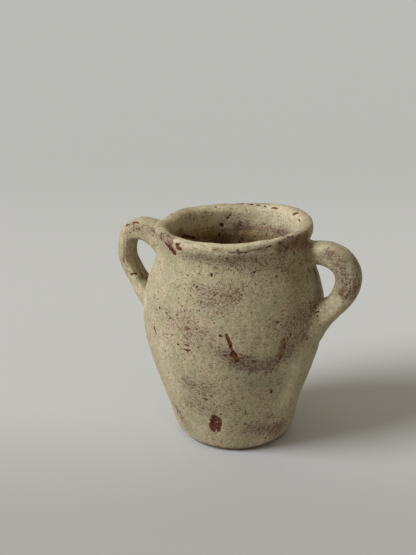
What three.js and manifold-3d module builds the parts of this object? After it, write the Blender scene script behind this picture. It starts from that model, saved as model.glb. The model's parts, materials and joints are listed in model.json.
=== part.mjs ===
import * as THREE from 'three';
import { mergeVertices } from 'three/addons/utils/BufferGeometryUtils.js';
import Module from 'manifold-3d';

// A hand-built two-handled earthenware pot, in millimetres, with +Z up and the handles along X.
// Nothing on it moves. The potter builds it from a base slab, a straight lower wall, a rounded
// shoulder wall, a rim coil and two handles, and seals each handle root with soft clay. Each of
// those pieces is a closed solid here.

// Outer outline of the pot, from the underside to the top of the lip
const potHeight = 170;
const footRadius = 35.2;
const heelHeight = 9;
const heelRadius = 44.6;
const heelRound = 5.6;
const lowerWallFlare = 0.33;
const lowerWallRun = 38;
const bellyRadius = 69.5;
const bellyHeight = 99;
const bellyFullnessBelow = 25.5;
const bellyFullnessAbove = 31.5;
const neckRadius = 57.8;
const neckBelowTop = 16;
const neckCurve = 12.8;
const lipRadius = 60.5;
const lipBelowTop = 4.2;
const lipCurve = 5;
const crestRadius = 59.1;
const crestRound = 2;

// Thickness of the clay
const floorThickness = 9;
const wallThickness = 7.5;
const mouthRadius = 49.7;
const mouthEdgeRound = 3;
const throatDepth = 13;
const insideCornerRound = 9;

// Where the wall was built up in stages, on seams that slope down towards the inside
const shoulderSeamBelowBelly = 23;
const rimSeamBelowTop = 20;
const seamSlope = 4;

// Unevenness of the hand building: an oval, tilted mouth, a belly that leans off the foot, and
// a lip that is pressed in where the left handle meets it
const mouthSqueeze = 0.034;
const mouthWarpDepth = 60;
const mouthTiltHeight = 1.6;
const mouthTiltDirection = THREE.MathUtils.degToRad(22);
const bellyLean = -1.3;
const bellyLeanHeight = 41;
const lipPinch = 3.5;

// Each handle: how far below the top its strap leaves the wall, the height between its roots, how
// far its centre line stands out from the wall, and the strap's greatest thickness and width
const rightRootBelowTop = 18.5;
const rightRootSpan = 58.5;
const rightReach = 29.5;
const rightThickness = 17;
const rightWidth = 21;
const leftRootBelowTop = 14.5;
const leftRootSpan = 66.5;
const leftReach = 32.5;
const leftThickness = 13.5;
const leftWidth = 20;

// Stations along each strap from its upper root to its lower one, as shares of those sizes
const rightHandle = {
  side: 1,
  rootBelowTop: rightRootBelowTop,
  span: rightRootSpan,
  reach: rightReach,
  thickness: rightThickness,
  width: rightWidth,
  stations: [
    { down: 0, out: -0.04, thickness: 0.76, width: 1.05 },
    { down: -0.065, out: 0.27, thickness: 0.74, width: 1 },
    { down: -0.085, out: 0.58, thickness: 0.79, width: 1 },
    { down: -0.01, out: 0.9, thickness: 0.94, width: 1 },
    { down: 0.16, out: 1, thickness: 1, width: 1 },
    { down: 0.35, out: 0.83, thickness: 0.97, width: 1 },
    { down: 0.57, out: 0.47, thickness: 0.91, width: 1.02 },
    { down: 0.75, out: 0.1, thickness: 0.88, width: 1.1 },
    { down: 1, out: -0.37, thickness: 0.88, width: 1.24 },
  ],
};
const leftHandle = {
  side: -1,
  rootBelowTop: leftRootBelowTop,
  span: leftRootSpan,
  reach: leftReach,
  thickness: leftThickness,
  width: leftWidth,
  stations: [
    { down: 0, out: -0.11, thickness: 0.96, width: 1.1 },
    { down: -0.04, out: 0.25, thickness: 1, width: 1.02 },
    { down: -0.055, out: 0.58, thickness: 1, width: 1 },
    { down: 0.025, out: 0.94, thickness: 0.89, width: 0.98 },
    { down: 0.19, out: 1, thickness: 0.81, width: 0.98 },
    { down: 0.37, out: 0.84, thickness: 0.81, width: 0.98 },
    { down: 0.57, out: 0.55, thickness: 0.81, width: 1 },
    { down: 0.745, out: 0.27, thickness: 0.85, width: 1.1 },
    { down: 1, out: -0.28, thickness: 0.89, width: 1.2 },
  ],
};

// Luting clay smoothed round each handle root, as a fillet that thins out along the handle
const lutingReach = 9;
const lutingSpread = 6;
const lutingEdge = 1.2;

// Clearance between pieces that were pressed together
const seamGap = 0.3;

// Smoothness of the model
const turns = 60;
const outlineSteps = 60;
const wallRingSpacing = 6;
const edgeRingSpacing = 2.2;
const edgeSteps = 4;
const rootSearchSteps = 200;
const strapSides = 16;
const strapSquareness = 2.4;
const handleSteps = 22;
const lutingSteps = 6;

// Colours of the slip-coated clay
const slipCream = 0xa89d80;
const slipShade = 0x9c8f72;
const wornSlip = 0x94866c;
const slipFinish = { roughness: 0.92, metalness: 0 };

// Heights that follow from the sizes above
const neckHeight = potHeight - neckBelowTop;
const lipHeight = potHeight - lipBelowTop;
const rimSeamHeight = potHeight - rimSeamBelowTop;
const shoulderSeamHeight = bellyHeight - shoulderSeamBelowBelly;

const wasm = await Module();
wasm.setup();

function smoothStep(value, from, to) {
  const t = THREE.MathUtils.clamp((value - from) / (to - from), 0, 1);
  return t * t * (3 - 2 * t);
}

// The outline of the outside, as one path of radius and height
function outerOutline() {
  const outline = new THREE.Path();
  const heelDrop = heelHeight / 2;
  outline.moveTo(footRadius, 0);
  outline.bezierCurveTo(
    footRadius + heelRound, 0,
    heelRadius - lowerWallFlare * heelDrop, heelHeight - heelDrop,
    heelRadius, heelHeight,
  );
  outline.bezierCurveTo(
    heelRadius + lowerWallFlare * lowerWallRun, heelHeight + lowerWallRun,
    bellyRadius, bellyHeight - bellyFullnessBelow,
    bellyRadius, bellyHeight,
  );
  outline.bezierCurveTo(
    bellyRadius, bellyHeight + bellyFullnessAbove,
    neckRadius, neckHeight - neckCurve,
    neckRadius, neckHeight,
  );
  outline.bezierCurveTo(
    neckRadius, neckHeight + lipCurve,
    lipRadius, lipHeight - lipCurve,
    lipRadius, lipHeight,
  );
  outline.bezierCurveTo(
    lipRadius, potHeight - crestRound,
    crestRadius + crestRound, potHeight,
    crestRadius, potHeight,
  );
  return outline;
}

const outlinePoints = outerOutline().getPoints(outlineSteps);

// The outer radius at a height, read off the outline
function outerRadiusAt(height) {
  for (let i = 1; i < outlinePoints.length; i += 1) {
    const below = outlinePoints[i - 1];
    const above = outlinePoints[i];
    if (above.y >= height && above.y > below.y) {
      const t = THREE.MathUtils.clamp((height - below.y) / (above.y - below.y), 0, 1);
      return THREE.MathUtils.lerp(below.x, above.x, t);
    }
  }
  return crestRadius;
}

// The inner radius at a height: the wall's thickness in from the outside, a rounded corner
// on the floor, and the mouth's own radius above the throat
function innerRadiusAt(height) {
  const wall = outerRadiusAt(height) - wallThickness;
  const inMouth = smoothStep(height, neckHeight - throatDepth, neckHeight);
  const radius = THREE.MathUtils.lerp(wall, mouthRadius, inMouth);
  const aboveFloor = height - floorThickness;
  if (aboveFloor >= insideCornerRound) return radius;
  const rise = insideCornerRound - aboveFloor;
  return radius - insideCornerRound + Math.sqrt(insideCornerRound ** 2 - rise ** 2);
}

// Points up or down a wall between two heights, closer together near the ends
function wallPoints(radiusAt, from, to, spacing) {
  const points = [];
  const count = Math.max(2, Math.round(Math.abs(to - from) / spacing));
  for (let i = 0; i <= count; i += 1) {
    const t = (1 - Math.cos((Math.PI * i) / count)) / 2;
    const height = THREE.MathUtils.lerp(from, to, t);
    points.push(new THREE.Vector2(radiusAt(height), height));
  }
  return points;
}

// How much of the mouth's unevenness, and of the belly's lean, applies at a height
function mouthShare(height) {
  return smoothStep(height, potHeight - mouthWarpDepth, potHeight);
}

function leanAt(height) {
  return bellyLean * smoothStep(height, 0, bellyLeanHeight);
}

// Moves every point of a shape as the hand-built pot departs from a true round one
function shapeByHand(geometry) {
  const position = geometry.attributes.position;
  for (let i = 0; i < position.count; i += 1) {
    const x = position.getX(i);
    const y = position.getY(i);
    const z = position.getZ(i);
    const inMouth = mouthShare(z);
    const along = x * Math.cos(mouthTiltDirection) + y * Math.sin(mouthTiltDirection);
    const lift = (inMouth * mouthTiltHeight * along) / lipRadius;
    const radius = Math.hypot(x, y);
    const onLip = smoothStep(z, neckHeight, lipHeight) * smoothStep(radius, mouthRadius, lipRadius);
    const pinch = lipPinch * onLip * smoothStep(-x, lipRadius / 2, lipRadius);
    position.setXYZ(
      i,
      x * (1 - mouthSqueeze * inMouth) + leanAt(z) + pinch,
      y * (1 + mouthSqueeze * inMouth),
      z + lift,
    );
  }
  return geometry;
}

// Turns an outline of radius and height about the pot's axis
function turnOutline(points) {
  const geometry = new THREE.LatheGeometry(points, turns);
  geometry.rotateX(Math.PI / 2);
  return shapeByHand(geometry);
}

// A closed shape as a solid, with its shared points merged
function toSolid(geometry) {
  const bare = geometry.clone();
  bare.deleteAttribute('normal');
  bare.deleteAttribute('uv');
  const merged = mergeVertices(bare);
  const index = merged.index.array;
  const triangles = [];
  for (let i = 0; i < index.length; i += 3) {
    const [a, b, c] = [index[i], index[i + 1], index[i + 2]];
    if (a !== b && b !== c && c !== a) triangles.push(a, b, c);
  }
  return new wasm.Manifold(new wasm.Mesh({
    numProp: 3,
    vertProperties: new Float32Array(merged.attributes.position.array),
    triVerts: new Uint32Array(triangles),
  }));
}

function toGeometry(solid) {
  const mesh = solid.getMesh();
  const geometry = new THREE.BufferGeometry();
  geometry.setAttribute('position', new THREE.BufferAttribute(mesh.vertProperties, 3));
  geometry.setIndex(new THREE.BufferAttribute(mesh.triVerts, 1));
  geometry.computeVertexNormals();
  return geometry;
}

// The rounded outer edge of the lip, from its widest point to the top
function crestPoints(clearance) {
  return new THREE.CubicBezierCurve(
    new THREE.Vector2(lipRadius + clearance, lipHeight),
    new THREE.Vector2(lipRadius + clearance, potHeight - crestRound + clearance),
    new THREE.Vector2(crestRadius + crestRound, potHeight + clearance),
    new THREE.Vector2(crestRadius, potHeight + clearance),
  ).getPoints(edgeSteps).slice(1);
}

// The whole outside of the pot as a full solid, grown all over by a clearance
function vesselEnvelope(clearance) {
  const grownRadiusAt = (height) => outerRadiusAt(height) + clearance;
  const side = wallPoints(grownRadiusAt, 0, lipHeight, wallRingSpacing);
  return toSolid(turnOutline([
    new THREE.Vector2(0, -clearance),
    ...side,
    ...crestPoints(clearance),
    new THREE.Vector2(0, potHeight + clearance),
  ]));
}

// How far the wall's outside is from the pot's own centre, along X at a height
function wallReach(height) {
  return outerRadiusAt(height) * (1 - mouthSqueeze * mouthShare(height));
}

// The centre line of a handle, which starts and ends inside the wall
function handleCentreLine(handle) {
  const centres = handle.stations.map(({ down, out }) => {
    const height = potHeight - handle.rootBelowTop - down * handle.span;
    const reach = wallReach(height) + out * handle.reach;
    return new THREE.Vector3(leanAt(height) + handle.side * reach, 0, height);
  });
  return new THREE.CatmullRomCurve3(centres, false, 'catmullrom');
}

// The strap's thickness or width part of the way along a handle
function alongHandle(handle, size, part) {
  const place = part * (handle.stations.length - 1);
  const before = Math.min(Math.floor(place), handle.stations.length - 2);
  const from = handle.stations[before][size];
  const to = handle.stations[before + 1][size];
  return handle[size] * THREE.MathUtils.lerp(from, to, smoothStep(place - before, 0, 1));
}

// A strap of rounded section swept along part of a handle's centre line. The section grows
// by margin(part) all round.
function sweepStrap(handle, from, to, steps, margin) {
  const line = handleCentreLine(handle);
  const positions = [];
  const index = [];
  const across = new THREE.Vector3(0, 1, 0);
  for (let step = 0; step <= steps; step += 1) {
    const part = THREE.MathUtils.lerp(from, to, step / steps);
    const centre = line.getPoint(part);
    const forward = line.getTangent(part);
    const outward = new THREE.Vector3().crossVectors(across, forward).normalize();
    const grow = margin(part);
    const halfThick = alongHandle(handle, 'thickness', part) / 2 + grow;
    const halfWide = alongHandle(handle, 'width', part) / 2 + grow;
    for (let i = 0; i < strapSides; i += 1) {
      const angle = (2 * Math.PI * i) / strapSides;
      const c = Math.cos(angle);
      const s = Math.sin(angle);
      const power = 2 / strapSquareness;
      const thick = Math.sign(c) * Math.abs(c) ** power * halfThick;
      const wide = Math.sign(s) * Math.abs(s) ** power * halfWide;
      const point = centre.clone().addScaledVector(outward, thick).addScaledVector(across, wide);
      positions.push(point.x, point.y, point.z);
    }
  }
  for (let step = 0; step < steps; step += 1) {
    for (let i = 0; i < strapSides; i += 1) {
      const a = step * strapSides + i;
      const b = step * strapSides + ((i + 1) % strapSides);
      index.push(a, b, a + strapSides, b, b + strapSides, a + strapSides);
    }
  }
  for (const [step, turned] of [[0, true], [steps, false]]) {
    const centre = line.getPoint(step === 0 ? from : to);
    const middle = positions.length / 3;
    positions.push(centre.x, centre.y, centre.z);
    for (let i = 0; i < strapSides; i += 1) {
      const a = step * strapSides + i;
      const b = step * strapSides + ((i + 1) % strapSides);
      if (turned) index.push(middle, b, a);
      else index.push(middle, a, b);
    }
  }
  const geometry = new THREE.BufferGeometry();
  geometry.setAttribute('position', new THREE.Float32BufferAttribute(positions, 3));
  geometry.setIndex(index);
  return geometry;
}

// How far along a handle its centre line leaves the wall, or meets it again
function rootPart(handle, fromEnd) {
  const line = handleCentreLine(handle);
  for (let i = 0; i <= rootSearchSteps; i += 1) {
    const part = fromEnd ? 1 - i / rootSearchSteps : i / rootSearchSteps;
    const point = line.getPoint(part);
    if (Math.abs(point.x - leanAt(point.z)) > wallReach(point.z)) return part;
  }
  return fromEnd ? 1 : 0;
}

// The floor of the pot: a flat disc of clay with a rounded heel
function makeBaseSlab() {
  const side = wallPoints(outerRadiusAt, 0, floorThickness, edgeRingSpacing);
  const geometry = turnOutline([
    new THREE.Vector2(0, 0),
    ...side,
    new THREE.Vector2(0, floorThickness),
  ]);
  return toGeometry(toSolid(geometry));
}

// The straight wall that stands on the base slab
function makeLowerWall() {
  const foot = floorThickness + seamGap;
  const top = shoulderSeamHeight - seamSlope;
  const outside = wallPoints(outerRadiusAt, foot, shoulderSeamHeight, wallRingSpacing);
  const inside = wallPoints(innerRadiusAt, top, foot, wallRingSpacing);
  const geometry = turnOutline([...outside, ...inside, outside[0].clone()]);
  return toGeometry(toSolid(geometry));
}

// The belly and shoulder, up to the seam under the lip
function makeShoulderWall() {
  const foot = shoulderSeamHeight + seamGap;
  const top = rimSeamHeight - seamSlope;
  const outside = wallPoints(outerRadiusAt, foot, rimSeamHeight, wallRingSpacing);
  const inside = wallPoints(innerRadiusAt, top, foot - seamSlope, wallRingSpacing);
  const geometry = turnOutline([...outside, ...inside, outside[0].clone()]);
  return toGeometry(toSolid(geometry));
}

// The coil that forms the neck's top and the lip
function makeRimCoil() {
  const seam = rimSeamHeight + seamGap;
  const outside = wallPoints(outerRadiusAt, seam, lipHeight, edgeRingSpacing);
  const crest = crestPoints(0);
  const mouthEdge = new THREE.QuadraticBezierCurve(
    new THREE.Vector2(mouthRadius + mouthEdgeRound, potHeight),
    new THREE.Vector2(mouthRadius, potHeight),
    new THREE.Vector2(mouthRadius, potHeight - mouthEdgeRound),
  ).getPoints(edgeSteps);
  const throat = wallPoints(innerRadiusAt, potHeight - mouthEdgeRound, seam - seamSlope, edgeRingSpacing);
  const inside = throat.slice(1);
  const geometry = turnOutline([...outside, ...crest, ...mouthEdge, ...inside, outside[0].clone()]);
  return toGeometry(toSolid(geometry));
}

// A pulled strap, cut to the wall that it was pressed against
function makeHandle(handle) {
  const strap = toSolid(sweepStrap(handle, 0, 1, handleSteps, () => 0));
  return toGeometry(strap.subtract(vesselEnvelope(seamGap)));
}

// Soft clay round a handle's root, cut to the handle and to the wall
function makeLuting(handle, atLowerEnd) {
  const length = handleCentreLine(handle).getLength();
  const root = rootPart(handle, atLowerEnd);
  const direction = atLowerEnd ? -1 : 1;
  const inside = root - (direction * lutingReach) / length;
  const outside = root + (direction * lutingReach) / length;
  const from = THREE.MathUtils.clamp(Math.min(inside, outside), 0, 1);
  const to = THREE.MathUtils.clamp(Math.max(inside, outside), 0, 1);
  const margin = (part) => {
    const away = THREE.MathUtils.clamp(((part - root) * direction * length) / lutingReach, -1, 1);
    return lutingEdge + lutingSpread * ((1 - away) / 2) ** 2;
  };
  const collar = toSolid(sweepStrap(handle, from, to, lutingSteps, margin));
  const strap = toSolid(sweepStrap(handle, 0, 1, handleSteps, () => seamGap));
  return toGeometry(collar.subtract(strap).subtract(vesselEnvelope(seamGap)));
}

function addPiece(name, geometry, color) {
  const material = new THREE.MeshStandardMaterial({ color, ...slipFinish });
  const mesh = new THREE.Mesh(geometry, material);
  mesh.name = name;
  pot.add(mesh);
}

const pot = new THREE.Group();
addPiece('base_slab', makeBaseSlab(), wornSlip);
addPiece('lower_wall', makeLowerWall(), slipCream);
addPiece('shoulder_wall', makeShoulderWall(), slipCream);
addPiece('rim_coil', makeRimCoil(), slipCream);
addPiece('right_handle', makeHandle(rightHandle), slipShade);
addPiece('right_upper_luting', makeLuting(rightHandle, false), wornSlip);
addPiece('right_lower_luting', makeLuting(rightHandle, true), wornSlip);
addPiece('left_handle', makeHandle(leftHandle), slipShade);
addPiece('left_upper_luting', makeLuting(leftHandle, false), wornSlip);
addPiece('left_lower_luting', makeLuting(leftHandle, true), wornSlip);

// The origin is on the underside, below the middle of the whole pot with its handles
const bounds = new THREE.Box3().setFromObject(pot);
const middle = bounds.getCenter(new THREE.Vector3());
pot.position.set(-middle.x, -middle.y, -bounds.min.z);
pot.updateMatrixWorld(true);

export default pot;
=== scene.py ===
import json
import math

import bpy
import numpy as np
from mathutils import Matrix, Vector
from mathutils.bvhtree import BVHTree
from mathutils.geometry import interpolate_bezier

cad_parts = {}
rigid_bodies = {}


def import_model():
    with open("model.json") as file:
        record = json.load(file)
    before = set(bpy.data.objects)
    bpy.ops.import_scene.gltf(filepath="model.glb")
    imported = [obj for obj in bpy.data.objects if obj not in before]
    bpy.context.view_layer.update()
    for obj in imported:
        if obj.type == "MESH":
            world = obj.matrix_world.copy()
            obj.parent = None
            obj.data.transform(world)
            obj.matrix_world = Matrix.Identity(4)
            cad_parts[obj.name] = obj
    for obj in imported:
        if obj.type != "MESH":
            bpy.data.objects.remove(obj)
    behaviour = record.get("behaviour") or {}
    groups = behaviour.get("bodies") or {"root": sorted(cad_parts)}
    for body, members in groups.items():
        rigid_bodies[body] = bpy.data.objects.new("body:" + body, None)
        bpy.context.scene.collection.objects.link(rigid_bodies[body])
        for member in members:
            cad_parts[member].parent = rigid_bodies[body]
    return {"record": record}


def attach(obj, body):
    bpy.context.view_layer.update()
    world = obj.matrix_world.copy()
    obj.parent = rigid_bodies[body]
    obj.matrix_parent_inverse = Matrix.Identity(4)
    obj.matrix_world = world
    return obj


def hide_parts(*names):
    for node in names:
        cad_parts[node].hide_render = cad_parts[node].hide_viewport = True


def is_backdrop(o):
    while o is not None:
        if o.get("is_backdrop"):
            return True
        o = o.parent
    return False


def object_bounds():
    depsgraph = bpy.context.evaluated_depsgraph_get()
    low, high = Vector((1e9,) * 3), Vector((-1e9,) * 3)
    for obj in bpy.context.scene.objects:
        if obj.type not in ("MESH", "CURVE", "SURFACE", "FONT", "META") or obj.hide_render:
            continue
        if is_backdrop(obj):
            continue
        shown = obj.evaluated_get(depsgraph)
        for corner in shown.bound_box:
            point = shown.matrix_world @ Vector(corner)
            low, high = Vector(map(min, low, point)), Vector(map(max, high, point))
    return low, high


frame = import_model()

cad_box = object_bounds()
mm = 0.001

# Camera
# It stands a little to the right of the pot's front, about 74 cm away and higher than the mouth,
# and looks down into it. The pot's foot is the point that it is placed from.
foot = Vector(frame["record"]["mounts"][0]["pos_m"])
camera_place = foot + Vector((244.5, -605.1, 342.6)) * mm
camera_aim = Vector((-0.38365, 0.86826, -0.31454))
photo_width = 416
photo_height = 555
focal_pixels = 900
sensor_height = 36


def select_only(*pieces):
    """Selects these pieces and nothing else, and makes the first of them the active one."""
    bpy.ops.object.select_all(action="DESELECT")
    for piece in reversed(pieces):
        piece.select_set(True)
        bpy.context.view_layer.objects.active = piece


select_only()
facing = camera_aim.to_track_quat("-Z", "Y").to_euler()
bpy.ops.object.camera_add(location=camera_place, rotation=facing)
camera = bpy.context.object
camera.data.sensor_fit = "VERTICAL"
camera.data.sensor_height = sensor_height
camera.data.lens = focal_pixels / photo_height * sensor_height
bpy.context.scene.camera = camera
bpy.context.view_layer.update()
bpy.context.scene.view_settings.view_transform = "Standard"


def photo_ray(across, down):
    """The direction in which the camera sees a pixel of the photograph."""
    in_view = Vector((across - photo_width / 2, photo_height / 2 - down, -focal_pixels))
    return (camera.matrix_world.to_3x3() @ in_view).normalized()


# Floor and light
# A plain pale studio floor runs back past the top of the picture, and painted shade darkens its colour
# towards the camera and far back, where the studio light falls off. One large soft lamp stands to the
# left and in front, above the mouth, and a warm even light fills the shade.
floor_half = 60
floor_near = (0.408, 0.411, 0.396, 1)
floor_pale = (0.533, 0.541, 0.526, 1)
floor_far = (0.483, 0.492, 0.477, 1)
floor_near_fade = (-150 * mm, 60 * mm)
floor_far_fade = (300 * mm, 1100 * mm)
floor_roughness = 0.85
lamp_from = Vector((-0.599, -0.559, 0.574))
lamp_power = 3.3
lamp_softness = math.radians(30)
lamp_colour = (0.98, 1.0, 1.06)
fill_colour = (1.0, 0.91, 0.76, 1)
fill_level = 0.40
backdrop_colour = (0.48, 0.485, 0.46, 1)


def put(tree, kind, inputs=(), **settings):
    """Adds a node, and feeds its inputs with values or with other nodes' outputs."""
    node = tree.nodes.new("ShaderNode" + kind)
    for name, value in settings.items():
        setattr(node, name, value)
    for name, value in dict(inputs).items():
        if isinstance(value, bpy.types.NodeSocket):
            tree.links.new(value, node.inputs[name])
        else:
            node.inputs[name].default_value = value
    return node


def ramp(tree, value, low, high, top=1.0):
    """0 below low and top above high, with a smooth rise between."""
    inputs = {"Value": value, "From Min": low, "From Max": high, "To Min": 0.0, "To Max": top}
    return put(tree, "MapRange", inputs, interpolation_type="SMOOTHSTEP").outputs[0]


def tint(tree, share, under, over):
    """One colour under another, which covers it by a share from 0 to 1."""
    inputs = {"Factor": share, "A": under, "B": over}
    return put(tree, "Mix", inputs, data_type="RGBA").outputs["Result"]


select_only()
bpy.ops.mesh.primitive_plane_add(size=2 * floor_half)
floor = bpy.context.object
floor.name = "studio_floor"
floor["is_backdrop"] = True

floor_paint = bpy.data.materials.new("pale studio floor")
floor_paint.use_nodes = True
tree = floor_paint.node_tree
place = put(tree, "TexCoord").outputs["Object"]
backwards = Vector((camera_aim.x, camera_aim.y, 0)).normalized()
behind = put(tree, "VectorMath", {0: place, 1: backwards}, operation="DOT_PRODUCT").outputs["Value"]
# Painted shade: the floor's colour darkens near the camera and far back, as the light falls off there
tone = tint(tree, ramp(tree, behind, *floor_near_fade), floor_near, floor_pale)
tone = tint(tree, ramp(tree, behind, *floor_far_fade), tone, floor_far)
shader = tree.nodes["Principled BSDF"]
shader.inputs["Roughness"].default_value = floor_roughness
tree.links.new(tone, shader.inputs["Base Color"])
floor.data.materials.append(floor_paint)

bpy.ops.object.light_add(type="SUN", rotation=lamp_from.to_track_quat("Z", "Y").to_euler())
lamp = bpy.context.object.data
lamp.energy = lamp_power
lamp.angle = lamp_softness
lamp.color = lamp_colour

world = bpy.data.worlds.new("studio")
bpy.context.scene.world = world
world.use_nodes = True
tree = world.node_tree
fill = tree.nodes["Background"]
fill.inputs["Color"].default_value = fill_colour
fill.inputs["Strength"].default_value = fill_level
backdrop = put(tree, "Background", {"Color": backdrop_colour})
sight = put(tree, "LightPath").outputs
seen = put(tree, "Math", {0: sight["Is Camera Ray"], 1: sight["Is Glossy Ray"]}, operation="MAXIMUM")
choose = put(tree, "MixShader", {"Fac": seen.outputs[0], 1: fill.outputs[0], 2: backdrop.outputs[0]})
tree.links.new(choose.outputs[0], tree.nodes["World Output"].inputs["Surface"])

# The soft cup
# The base, wall and rim while the clay is still one soft cup: a disc for the underside, raised ring
# by ring up the outside, over the lip and down the inside to the floor, and pressed by hand.
pot_height = 170 * mm
foot_radius = 35.2 * mm
heel_height = 9 * mm
heel_radius = 44.6 * mm
belly_height = 99 * mm
belly_radius = 69.5 * mm
neck_height = 154 * mm
neck_radius = 57.8 * mm
lip_height = 165.8 * mm
lip_radius = 60.5 * mm
crest_radius = 58.6 * mm
floor_height = 9 * mm
wall_thickness = 7.5 * mm
mouth_radius = 49.7 * mm
throat_depth = 13 * mm
corner_round = 9 * mm
lip_roll = ((56, 170.2), (53.5, 169.6), (51.4, 168.4), (50.1, 166.4))
inner_wall_top = pot_height - 6 * mm
mouth_squeeze = 0.034
mouth_tilt = 1.6 * mm
mouth_tilt_side = math.radians(22)
mouth_warp_depth = 60 * mm
belly_lean = -1.3 * mm
belly_lean_height = 41 * mm
# Each press of a hand, in millimetres: where it pushes, how far the clay moves, and how far round
hand_presses = {
    "foot, left": ((-34, -5, 0), (1.5, 0, 0), 12),
    "lip, behind on the right": ((26, 56, 170), (0.3, 0.8, 1.3), 48),
    "lip, behind on the left": ((-52, 22, 169), (-0.8, 0.3, 1.2), 30),
    "lip, front": ((20, -52, 168), (0, 0, -0.6), 18),
    "neck, under the left strap": ((-59, 0, 142), (-2.2, 0, 0), 18),
    "shoulder, under the right strap": ((64, 0, 135), (2.8, 0, 0), 26),
    "lower wall, left": ((-63, -6, 62), (-1.4, 0, 0), 32),
    "heel, left": ((-43, -12, 9), (-2.6, -0.8, 0), 28),
    "heel, right": ((42, 17, 10), (2.6, 0.9, 0), 30),
}
ring_sides = 128
outline_steps = 14
inner_rings = 26
corner_rings = 6
corner_start = 0.2
touching = 0.1 * mm


def soft_step(value, low, high):
    """0 below low, 1 above high, and a smooth rise between."""
    t = np.clip((value - low) / (high - low), 0, 1)
    return t * t * (3 - 2 * t)


def outer_outline():
    """Points of radius and height up the outside of the pot, from the foot to the top of the lip."""
    heel = (heel_radius, heel_height)
    belly = (belly_radius, belly_height)
    neck = (neck_radius, neck_height)
    lip = (lip_radius, lip_height)
    crest = (crest_radius, pot_height)
    # Between its two ends, a stretch has the two points that pull it into its bend
    stretches = [
        [(foot_radius, 0), (40.8 * mm, 0), (43.1 * mm, 4.5 * mm), heel],
        [heel, (57.1 * mm, 47 * mm), (belly_radius, 73.5 * mm), belly],
        [belly, (belly_radius, 130.5 * mm), (neck_radius, 141.2 * mm), neck],
        [neck, (neck_radius, 159 * mm), (lip_radius, 160.8 * mm), lip],
        [lip, (lip_radius, 168.2 * mm), (60.4 * mm, pot_height), crest],
    ]
    points = [Vector((foot_radius, 0))]
    for stretch in stretches:
        points += [Vector(point[:2]) for point in interpolate_bezier(*stretch, outline_steps)[1:]]
    return points


outside = outer_outline()


def outer_radius(height):
    return np.interp(height, [p.y for p in outside], [p.x for p in outside])


def inner_radius(height):
    """The wall's thickness in from the outside, drawn in to the mouth and rounded on to the floor."""
    wall = outer_radius(height) - wall_thickness
    radius = wall + (mouth_radius - wall) * soft_step(height, neck_height - throat_depth, neck_height)
    rise = max(0, corner_round - (height - floor_height))
    return radius - corner_round + math.sqrt(corner_round**2 - rise**2)


def lean_at(height):
    return belly_lean * soft_step(height, 0, belly_lean_height)


def mouth_share(height):
    return soft_step(height, pot_height - mouth_warp_depth, pot_height)


def raise_ring(ring, radius, height):
    """Extrudes the selected ring to a radius and height, as oval, leaning and tilted as it is there."""
    share = mouth_share(height)
    centre = Vector((foot.x + lean_at(height), 0, height))
    wide = radius * (1 - mouth_squeeze * share)
    deep = radius * (1 + mouth_squeeze * share)
    tilt = mouth_tilt * share / lip_radius
    stretch = (wide / ring["wide"], deep / ring["deep"], radius / ring["radius"])
    turn = tilt - ring["tilt"]
    bpy.ops.mesh.extrude_region_move(TRANSFORM_OT_translate={"value": centre - ring["centre"]})
    bpy.ops.transform.resize(value=stretch, center_override=centre)
    for axis, part in (("Y", math.cos(mouth_tilt_side)), ("X", -math.sin(mouth_tilt_side))):
        bpy.ops.transform.rotate(value=turn * part, orient_axis=axis, center_override=centre)
    return {"centre": centre, "radius": radius, "wide": wide, "deep": deep, "tilt": tilt}


def select_parts(piece, kind, wanted):
    """Selects the vertices or edges that pass a test, with the piece left in edit mode."""
    bpy.ops.object.mode_set(mode="EDIT")
    bpy.ops.mesh.select_mode(type=kind)
    bpy.ops.mesh.select_all(action="DESELECT")
    bpy.ops.object.mode_set(mode="OBJECT")
    for part in piece.data.vertices if kind == "VERT" else piece.data.edges:
        part.select = bool(wanted(part))
    bpy.ops.object.mode_set(mode="EDIT")


def close_skin():
    """Turns all faces of the piece outwards and leaves edit mode."""
    bpy.ops.mesh.select_all(action="SELECT")
    bpy.ops.mesh.normals_make_consistent(inside=False)
    bpy.ops.object.mode_set(mode="OBJECT")


select_only()
bpy.ops.mesh.primitive_circle_add(
    vertices=ring_sides, radius=foot_radius, fill_type="NGON", location=foot,
)
clay = bpy.context.object
clay.name = "clay"
bpy.ops.object.transform_apply(location=True)
bpy.ops.object.mode_set(mode="EDIT")
bpy.ops.mesh.select_all(action="SELECT")
ring = dict(centre=foot.copy(), radius=foot_radius, wide=foot_radius, deep=foot_radius, tilt=0)
for point in outside[1:]:
    ring = raise_ring(ring, point.x, point.y)
for radius, height in lip_roll:
    ring = raise_ring(ring, radius * mm, height * mm)
for height in np.linspace(inner_wall_top, floor_height + corner_round, inner_rings):
    ring = raise_ring(ring, inner_radius(height), height)
for angle in np.linspace(corner_start, math.pi / 2, corner_rings):
    height = floor_height + corner_round * (1 - math.sin(angle))
    ring = raise_ring(ring, inner_radius(height), height)
close_skin()
for place, push, reach in hand_presses.values():
    spots = [vertex.co.copy() for vertex in clay.data.vertices]
    nearest = min(spots, key=lambda spot: (spot - Vector(place) * mm).length)
    select_parts(clay, "VERT", lambda vertex: (vertex.co - nearest).length < touching)
    bpy.ops.transform.translate(
        value=Vector(push) * mm, use_proportional_edit=True, proportional_size=reach * mm,
        proportional_edit_falloff="SMOOTH",
    )
    bpy.ops.object.mode_set(mode="OBJECT")

# The straps
# Each handle is a pulled strap of soft clay, crowned outside and flatter inside, bent out from the
# neck and down on to the belly. It is made from one cut section, set out along the bend and bridged.
strap_steps = 26
outer_corner_steps = 8
inner_corner_steps = 6
length_steps = 100
root_steps = 200
direction_step = 0.004
collar_steps = 6
collar_reach = 9 * mm
collar_spread = 5.5 * mm
collar_edge = 1 * mm
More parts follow.
